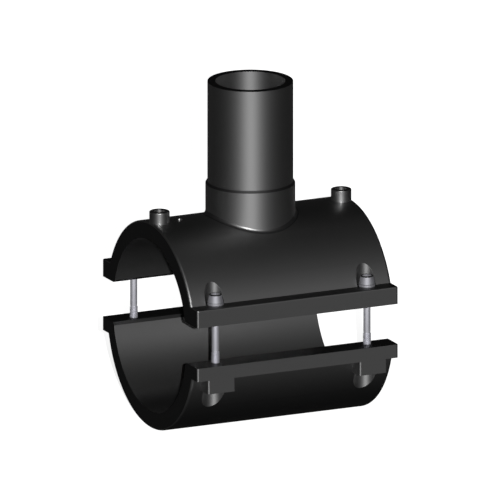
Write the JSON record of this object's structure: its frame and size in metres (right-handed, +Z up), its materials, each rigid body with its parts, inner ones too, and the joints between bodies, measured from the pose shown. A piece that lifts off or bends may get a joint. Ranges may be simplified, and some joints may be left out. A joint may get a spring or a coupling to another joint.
{
  "type": "electrofusion branch saddle",
  "caption": "Two-piece plastic clamp saddle that is welded onto a main pipe by its heating wire and gives it an upright branch spigot.",
  "frame": {"origin": "on the main pipe's axis, under the middle of the branch", "axes": "+X along the main pipe, +Z up along the branch, -Y towards the picture's near side"},
  "size_m": [0.163, 0.1634, 0.2543],
  "materials": {
    "black_polyethylene": "satin moulded black polyethylene",
    "zinc_plated_steel": "bright zinc plated steel",
    "contact_metal": "turned brass",
    "resistance_wire": "drawn copper alloy wire"
  },
  "bodies": {
    "upper_half": {"upper_saddle": "black_polyethylene", "heating_wire": "resistance_wire", "terminal_contact_left": "contact_metal", "terminal_contact_right": "contact_metal", "washer_front_left": "zinc_plated_steel", "washer_front_right": "zinc_plated_steel", "washer_rear_left": "zinc_plated_steel", "washer_rear_right": "zinc_plated_steel"},
    "lower_half": {"lower_saddle": "black_polyethylene", "nut_front_left": "zinc_plated_steel", "nut_front_right": "zinc_plated_steel", "nut_rear_left": "zinc_plated_steel", "nut_rear_right": "zinc_plated_steel"},
    "fusion_indicator": {"fusion_indicator": "black_polyethylene"},
    "screw_front_left": {"clamp_screw_front_left": "zinc_plated_steel"},
    "screw_front_right": {"clamp_screw_front_right": "zinc_plated_steel"},
    "screw_rear_left": {"clamp_screw_rear_left": "zinc_plated_steel"},
    "screw_rear_right": {"clamp_screw_rear_right": "zinc_plated_steel"}
  },
  "joints": [
    {"name": "lower_half_rise", "type": "slide", "parent": "upper_half", "child": "lower_half", "axis": [0, 0, 1], "range_m": [-0.0035, 0.0045]},
    {"name": "indicator_rise", "type": "slide", "parent": "upper_half", "child": "fusion_indicator", "axis": [0, 0, 1], "range_m": [0, 0.002]},
    {"name": "screw_turn_front_left", "type": "hinge", "parent": "upper_half", "child": "screw_front_left", "pos_m": [-0.0614, -0.0703, 0.0305], "axis": [0, 0, 1], "range_deg": [-1621, 1261]},
    {"name": "screw_turn_front_right", "type": "hinge", "parent": "upper_half", "child": "screw_front_right", "pos_m": [0.0614, -0.0703, 0.0305], "axis": [0, 0, 1], "range_deg": [-1621, 1261]},
    {"name": "screw_turn_rear_left", "type": "hinge", "parent": "upper_half", "child": "screw_rear_left", "pos_m": [-0.0614, 0.0703, 0.0305], "axis": [0, 0, 1], "range_deg": [-1621, 1261]},
    {"name": "screw_turn_rear_right", "type": "hinge", "parent": "upper_half", "child": "screw_rear_right", "pos_m": [0.0614, 0.0703, 0.0305], "axis": [0, 0, 1], "range_deg": [-1621, 1261]}
  ],
  "couplings": [
    {"joint": "screw_turn_front_left", "follows": "lower_half_rise", "rad_per_m": -6283.2},
    {"joint": "screw_turn_front_right", "follows": "lower_half_rise", "rad_per_m": -6283.2},
    {"joint": "screw_turn_rear_left", "follows": "lower_half_rise", "rad_per_m": -6283.2},
    {"joint": "screw_turn_rear_right", "follows": "lower_half_rise", "rad_per_m": -6283.2}
  ]
}
